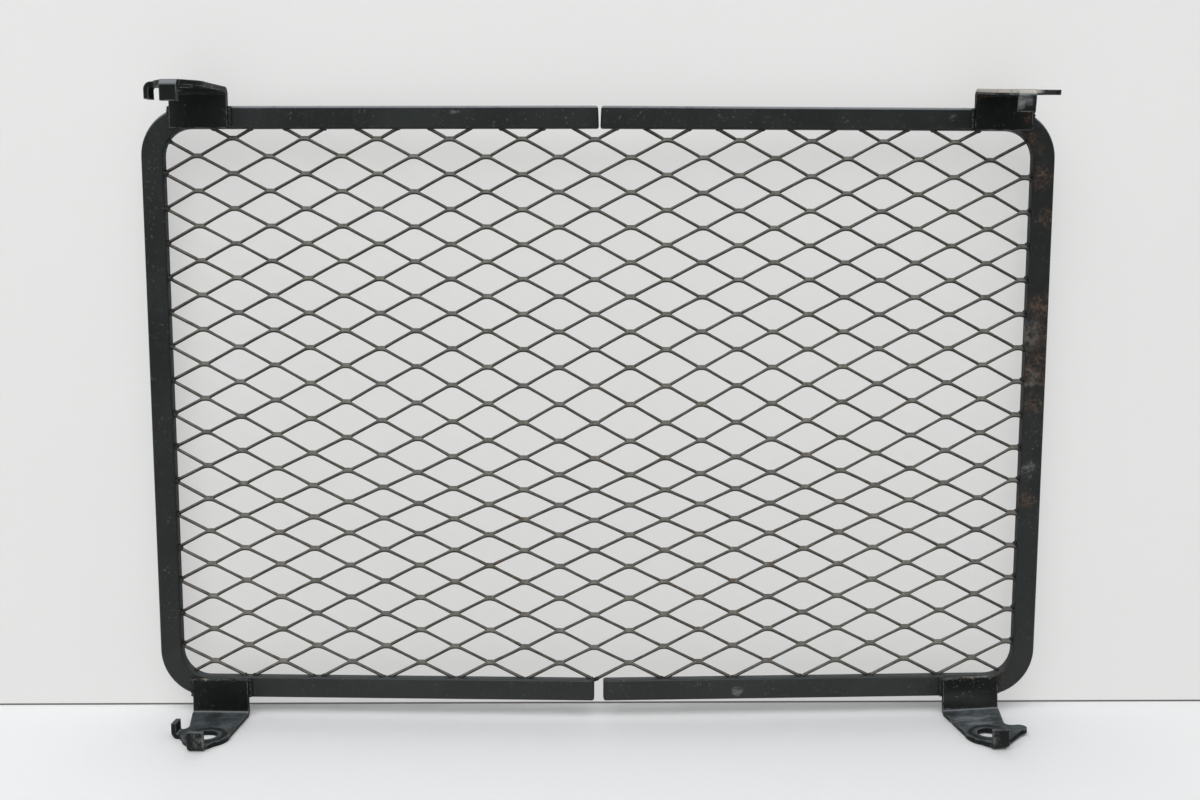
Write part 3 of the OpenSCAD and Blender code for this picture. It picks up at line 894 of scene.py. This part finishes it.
    def core_column(self, bond, x):
        """Points of the upper and the lower strand at one place along a bond."""
        middle = bond["middle"] + Vector((x, 0, 0))
        mid_front = self.point(middle + bond["front"])
        mid_back = self.point(middle - bond["front"])
        column = {}
        for level in (1, -1):
            out = self.outer(bond, x, level, CORE_SLOPE)
            up = bond["up"].normalized() * STRAND_EDGE * level
            front = bond["front"].normalized() * STRAND_EDGE
            at = [out + bond["front"] - up, out + bond["front"] - front,
                  out - bond["front"] + front, out - bond["front"] - up]
            made = [self.point(p) for p in at]
            ring = [None] * 8
            if level > 0:
                ring[0], ring[7], ring[6], ring[5] = made
                ring[1], ring[4] = mid_front, mid_back
            else:
                ring[1], ring[2], ring[3], ring[4] = made
                ring[0], ring[5] = mid_front, mid_back
            column[level] = ring
        return column

    def core(self, i, j):
        """The bond itself, between its four arms."""
        bond = self.bond(i, j)
        left = {level: self.arm(i, j, -1, level)["ring"] for level in (1, -1)}
        right = {level: self.arm(i, j, 1, level)["ring"] for level in (1, -1)}
        columns = [left]
        columns += [self.core_column(bond, x) for x in CORE_COLUMNS]
        columns.append(right)
        for first, second in zip(columns, columns[1:]):
            for level, path in ((1, UPPER_PATH), (-1, LOWER_PATH)):
                self.span(first[level], second[level], path)


def make_grille():
    """The expanded mesh. Gives the places where strands run into the bars."""
    grille = Grille(GRILLE_SEED)
    columns = range(0, int((2 * INNER_W - FIRST_COLUMN) / COLUMN_STEP) + 1)
    rows = range(-1, int((2 * INNER_H - FIRST_ROW) / ROW_STEP) + 2)
    ends = []
    for j in rows:
        for i in columns:
            if not kept(i, j):
                continue
            grille.core(i, j)
            for side in (1, -1):
                for level in (1, -1):
                    if not kept(i + side, j - level):
                        ends.append(grille.stub(i, j, side, level))
                    elif side > 0:
                        grille.strand(i, j, level)
    made = new_object("expanded_mesh", [folded(p) for p in grille.points], grille.faces)
    tidy_normals(made)
    made.data.materials.append(mesh_paint())
    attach(made, "root")
    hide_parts("mesh")
    return ends


def tidy_normals(made):
    """Turns all faces outwards."""
    work = bmesh.new()
    work.from_mesh(made.data)
    bmesh.ops.recalc_face_normals(work, faces=work.faces)
    work.to_mesh(made.data)
    work.free()


# Welds

# A weld is made of lumpy balls: their faces, and where each finds its lumps in the noise
BALL_RINGS = 7
BALL_AROUND = 10
LUMP_SCALE = 1.6
LUMP_OFFSET = (3.7, 1.3, 2.9)


def ball(middle, radii, turn, rough, seed):
    """A lumpy ball: points and faces."""
    rings, around = BALL_RINGS, BALL_AROUND
    points, faces = [], []
    offset = Vector([seed * part for part in LUMP_OFFSET])
    for a in range(rings + 1):
        tilt = math.pi * a / rings
        count = 1 if a in (0, rings) else around
        for k in range(count):
            spin = 2 * math.pi * k / around
            reach = math.sin(tilt)
            way = Vector((reach * math.cos(spin), reach * math.sin(spin), math.cos(tilt)))
            swell = 1 + rough * noise.noise(way * LUMP_SCALE + offset)
            points.append(middle + turn @ Vector([w * r * swell for w, r in zip(way, radii)]))
    last = len(points) - 1
    for k in range(around):
        n = (k + 1) % around
        faces.append((0, 1 + k, 1 + n))
        faces.append((last, last - around + n, last - around + k))
        for a in range(rings - 2):
            base = 1 + a * around
            faces.append((base + k, base + around + k, base + around + n, base + n))
    return points, faces


def gather(name, shapes, material, node):
    """One piece from many small shapes, in place of a node of the frame."""
    points, faces = [], []
    for more, sides in shapes:
        faces += [tuple(n + len(points) for n in side) for side in sides]
        points += more
    made = new_object(name, points, faces)
    tidy_normals(made)
    made.data.materials.append(material)
    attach(made, "root")
    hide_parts(node)
    return made


# Tacks: radii along and round the strand, the range of sizes, sizes on the left and elsewhere,
# how far back from the strand's tip they sit, and how lumpy they are
TACK_LONG = 1.3
TACK_ROUND = 0.85
TACK_SIZES = (0.85, 1.15)
LEFT_TACKS = 1.15
OTHER_TACKS = 0.95
TACK_BACK = 0.9
TACK_LUMPS = 0.5
TACK_SEED = 5


def make_tacks(ends, material):
    """A small weld where each strand runs into the bar: one piece for each side of the frame."""
    groups = {"left": [], "right": [], "top": [], "bottom": []}
    chance = random.Random(TACK_SEED)
    for number, (tip, way) in enumerate(ends):
        beside = INNER_W - abs(tip.x)
        above = INNER_H - abs(tip.y)
        if beside < above:
            side = "left" if tip.x < 0 else "right"
        else:
            side = "top" if tip.y > 0 else "bottom"
        size = chance.uniform(*TACK_SIZES) * (LEFT_TACKS if side == "left" else OTHER_TACKS)
        radii = (TACK_LONG * size, TACK_ROUND * size, TACK_ROUND * size)
        turn = Matrix.Rotation(math.atan2(way.y, way.x), 3, "Y").inverted()
        at = folded(tip - way * TACK_BACK)
        groups[side].append(ball(at, radii, turn, TACK_LUMPS, number))
    for side, shapes in groups.items():
        gather("tack_welds_" + side, shapes, material, "mesh_tacks_" + side)


# Beads: radius, distance from ball to ball, how far a ball strays, the range of sizes,
# the ball's shape, how lumpy it is, and the seeds that each bracket has
BEAD_R = 0.7
BEAD_STEP = 1.0
BEAD_JITTER = 0.12
BEAD_SIZES = (0.85, 1.15)
BEAD_SHAPE = (1.15, 0.9, 1)
BEAD_LUMPS = 0.45
BEAD_SEEDS = 40

# The run along a lower plate's upper edge, and its place from the upper ends of the two beads
END_BEAD_R = 0.75
END_BEAD_SHIFT = (0, -0.7, 0.5)

# How far from the end of a weld its points count as the end
WELD_END = 0.4


def bead_paths(node):
    """Lower and upper end of each of a node's two beads, in millimetres."""
    places = [v.co / MM for v in frame["nodes"][node].data.vertices]
    middle = sum(p.x for p in places) / len(places)
    paths = []
    for side in (-1, 1):
        own = [p for p in places if (p.x - middle) * side > 0]
        low = min(p.z for p in own)
        high = max(p.z for p in own)
        foot = [p for p in own if p.z < low + WELD_END]
        head = [p for p in own if p.z > high - WELD_END]
        paths.append((sum(foot, Vector()) / len(foot), sum(head, Vector()) / len(head)))
    return paths


def bead_runs(corner):
    """Start, end and radius of each run of beads at a bracket."""
    paths = bead_paths("welds_" + corner)
    runs = [(foot, head, BEAD_R) for foot, head in paths]
    if corner.startswith("bottom"):
        shift = Vector(END_BEAD_SHIFT)
        runs.append((paths[0][1] + shift, paths[1][1] + shift, END_BEAD_R))
    return runs


def make_beads(material):
    """Small lumps along both sides of each bracket, and along the top of the lower ones."""
    for number, corner in enumerate(("top_left", "top_right", "bottom_left", "bottom_right")):
        chance = random.Random(number)
        shapes = []
        for foot, head, size in bead_runs(corner):
            count = round((head - foot).length / BEAD_STEP)
            for k in range(count + 1):
                at = foot.lerp(head, k / count)
                at += Vector([chance.uniform(-BEAD_JITTER, BEAD_JITTER) for _ in range(3)])
                r = size * chance.uniform(*BEAD_SIZES)
                radii = [r * part for part in BEAD_SHAPE]
                seed = number * BEAD_SEEDS + len(shapes)
                shapes.append(ball(at, radii, Matrix.Identity(3), BEAD_LUMPS, seed))
        gather("weld_beads_" + corner, shapes, material, "welds_" + corner)


# Frame nodes that stay

BAR_BEVEL = 1.0
PLATE_BEVEL = 0.35
BEVEL_PARTS = 3

# Edges turning more than this are bevelled, and faces turning less are joined first
SHARP_EDGE = math.radians(35)
SAME_FACE = math.radians(0.3)
SAME_PLACE_M = 0.00001

# Full weight for large faces, so that they look flat beside the bends
FACE_WEIGHT = 100


def soften(node, width, material):
    """Bevels a frame node's edges, keeps its large faces looking flat, and gives it a finish."""
    made = frame["nodes"][node]
    weld = made.modifiers.new("weld", "WELD")
    weld.merge_threshold = SAME_PLACE_M
    flat = made.modifiers.new("flat", "DECIMATE")
    flat.decimate_type = "DISSOLVE"
    flat.angle_limit = SAME_FACE
    bevel = made.modifiers.new("bevel", "BEVEL")
    bevel.width = width * MM
    bevel.segments = BEVEL_PARTS
    bevel.limit_method = "ANGLE"
    bevel.angle_limit = SHARP_EDGE
    even = made.modifiers.new("even", "WEIGHTED_NORMAL")
    even.weight = FACE_WEIGHT
    for face in made.data.polygons:
        face.use_smooth = True
    made.data.materials.clear()
    made.data.materials.append(material)


def dress_frame():
    """Bars in their paint, brackets in theirs, and the upper right one with caked dust."""
    bars = paint("frame_paint", BAR_LOOK)
    plates = paint("bracket_paint", PLATE_LOOK)
    crusted = paint("bracket_paint_crusted", PLATE_LOOK, True)
    for side in ("left", "right"):
        soften("frame_" + side, BAR_BEVEL, bars)
        soften("bracket_bottom_" + side, PLATE_BEVEL, plates)
    soften("bracket_top_left", PLATE_BEVEL, plates)
    soften("bracket_top_right", PLATE_BEVEL, crusted)


make_camera()
make_light()
make_stage()
dress_frame()
strand_ends = make_grille()
weld = weld_metal()
make_tacks(strand_ends, weld)
make_beads(weld)
